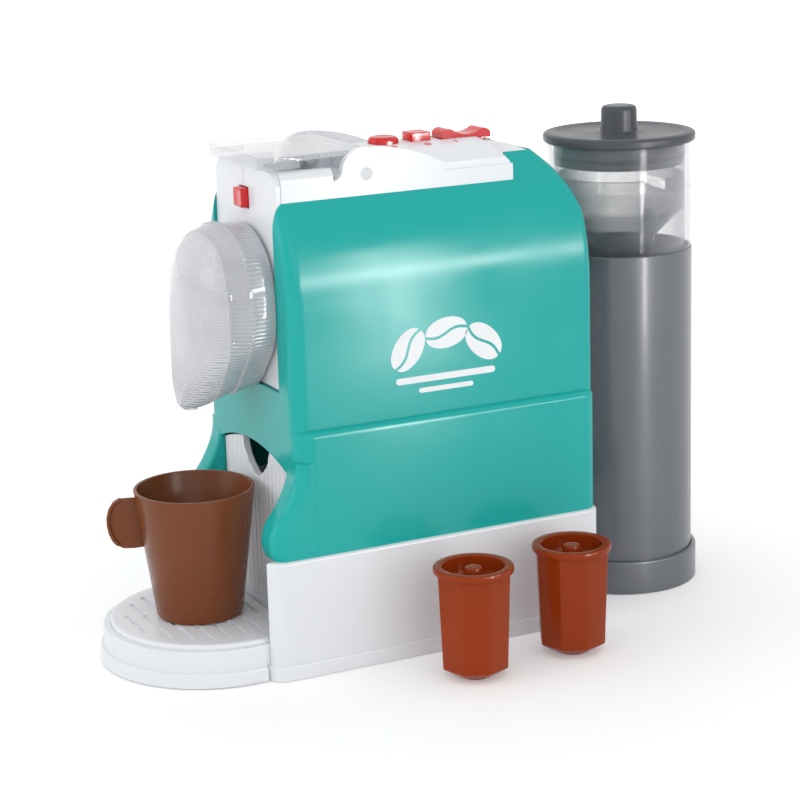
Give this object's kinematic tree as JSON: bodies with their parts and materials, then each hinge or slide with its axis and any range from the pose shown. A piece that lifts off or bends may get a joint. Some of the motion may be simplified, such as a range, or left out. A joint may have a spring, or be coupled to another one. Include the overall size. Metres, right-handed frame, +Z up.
{
  "type": "toy coffee maker",
  "caption": "Toy capsule coffee maker with a lift-off water tank, slide-out drip tray and capsule bin, hinged capsule lid, push buttons, a cup and loose capsules",
  "frame": {"origin": "on the table top, under the middle of the machine's body", "axes": "+Z up, -Y the front where the cup stands, +X the side with the loose capsules, metres"},
  "size_m": [0.1315, 0.2479, 0.1878],
  "materials": {
    "white_plastic": "smooth moulded gloss",
    "teal_plastic": "smooth moulded gloss",
    "clear_plastic": "clear moulded polystyrene",
    "tank_grey": "satin grey",
    "lid_grey": "satin grey",
    "red_plastic": "glossy",
    "cup_brown": "slightly see-through brown",
    "capsule_rust": "glossy",
    "soft_hose": "soft clear vinyl",
    "seal_rubber": "soft black",
    "pale_pin": "plain",
    "steel": "plated",
    "contact_metal": "plated spring metal",
    "dark_plastic": "plain",
    "board_green": "coated board",
    "battery_jacket": "plain wrapped steel",
    "lamp_lens": "diffusing"
  },
  "bodies": {
    "machine": {"base_shell": "white_plastic", "bottom_plate": "white_plastic", "base_screws": "steel", "battery_box": "dark_plastic", "batteries": "battery_jacket", "battery_contacts": "contact_metal", "battery_door": "white_plastic", "battery_door_screw": "steel", "body_hood": "teal_plastic", "rear_cover": "white_plastic", "rear_screws": "steel", "front_plate": "white_plastic", "top_console": "white_plastic", "lid_pins": "pale_pin", "capsule_chute": "white_plastic", "gate_springs": "steel", "rocker_pin": "pale_pin", "rocker_cradle": "white_plastic", "control_board": "board_green", "key_switches": "dark_plastic", "spout_back_shell": "clear_plastic", "spout_front_shell": "clear_plastic", "spout_tube": "clear_plastic", "pump_motor": "steel", "pump_housing": "white_plastic", "suction_hose": "soft_hose", "delivery_hose": "soft_hose", "speaker": "dark_plastic", "lamp": "lamp_lens", "tank_seat": "tank_grey"},
    "capsule_lid": {"capsule_lid": "clear_plastic"},
    "front_button": {"front_button": "red_plastic", "release_gate": "white_plastic"},
    "round_button": {"round_button": "red_plastic"},
    "square_button": {"square_button": "red_plastic"},
    "power_rocker": {"power_rocker": "red_plastic"},
    "drip_tray": {"drip_tray": "white_plastic", "capsule_bin": "white_plastic"},
    "drip_grille": {"drip_grille": "white_plastic"},
    "cup": {"cup": "cup_brown"},
    "tank": {"tank_sleeve": "tank_grey", "tank_jar": "clear_plastic", "tank_funnel": "clear_plastic", "tank_standpipe": "clear_plastic", "valve_cage": "clear_plastic", "valve_spring": "steel"},
    "tank_valve": {"tank_valve": "pale_pin"},
    "tank_lid": {"tank_lid": "lid_grey", "lid_seal": "seal_rubber"},
    "pump_impeller": {"pump_impeller": "pale_pin"},
    "capsule_1": {"capsule_1_cup": "capsule_rust", "capsule_1_cap": "capsule_rust"},
    "capsule_2": {"capsule_2_cup": "capsule_rust", "capsule_2_cap": "capsule_rust"}
  },
  "joints": [
    {"name": "lid_hinge", "type": "hinge", "parent": "machine", "child": "capsule_lid", "pos_m": [0, -0.0273, 0.1758], "axis": [-1, 0, 0], "range_deg": [0, 85]},
    {"name": "front_button_push", "type": "slide", "parent": "machine", "child": "front_button", "axis": [0, 1, 0], "range_m": [0, 0.0024], "stiffness_N_per_m": 300, "deforming": ["gate_springs"]},
    {"name": "round_button_push", "type": "slide", "parent": "machine", "child": "round_button", "axis": [0, 0, -1], "range_m": [0, 0.0018], "stiffness_N_per_m": 300},
    {"name": "square_button_push", "type": "slide", "parent": "machine", "child": "square_button", "axis": [0, 0, -1], "range_m": [0, 0.0018], "stiffness_N_per_m": 300},
    {"name": "power_rocker_tilt", "type": "hinge", "parent": "machine", "child": "power_rocker", "pos_m": [0, 0.025, 0.1784], "axis": [1, 0, 0], "range_deg": [-8, 8]},
    {"name": "tray_slide", "type": "slide", "parent": "machine", "child": "drip_tray", "axis": [0, -1, 0], "range_m": [0, 0.06]},
    {"name": "grille_lift", "type": "slide", "parent": "drip_tray", "child": "drip_grille", "axis": [0, 0, 1], "range_m": [0, 0.01]},
    {"name": "cup_lift", "type": "slide", "parent": "drip_grille", "child": "cup", "axis": [0, -0.9397, 0.3419], "range_m": [0, 0.06]},
    {"name": "tank_lift", "type": "slide", "parent": "machine", "child": "tank", "axis": [0, 0, 1], "range_m": [0, 0.05]},
    {"name": "tank_lid_lift", "type": "slide", "parent": "tank", "child": "tank_lid", "axis": [0, 0, 1], "range_m": [0, 0.03]},
    {"name": "valve_lift", "type": "slide", "parent": "tank", "child": "tank_valve", "axis": [0, 0, 1], "range_m": [0, 0.003], "stiffness_N_per_m": 60, "deforming": ["valve_spring"]},
    {"name": "impeller_spin", "type": "hinge", "parent": "machine", "child": "pump_impeller", "pos_m": [0, 0.034, 0.0535], "axis": [0, 0, 1], "continuous": true},
    {"name": "capsule_1_lift", "type": "slide", "parent": "machine", "child": "capsule_1", "axis": [0, 0, 1], "range_m": [0, 0.05]},
    {"name": "capsule_2_lift", "type": "slide", "parent": "machine", "child": "capsule_2", "axis": [0, 0, 1], "range_m": [0, 0.05]}
  ]
}
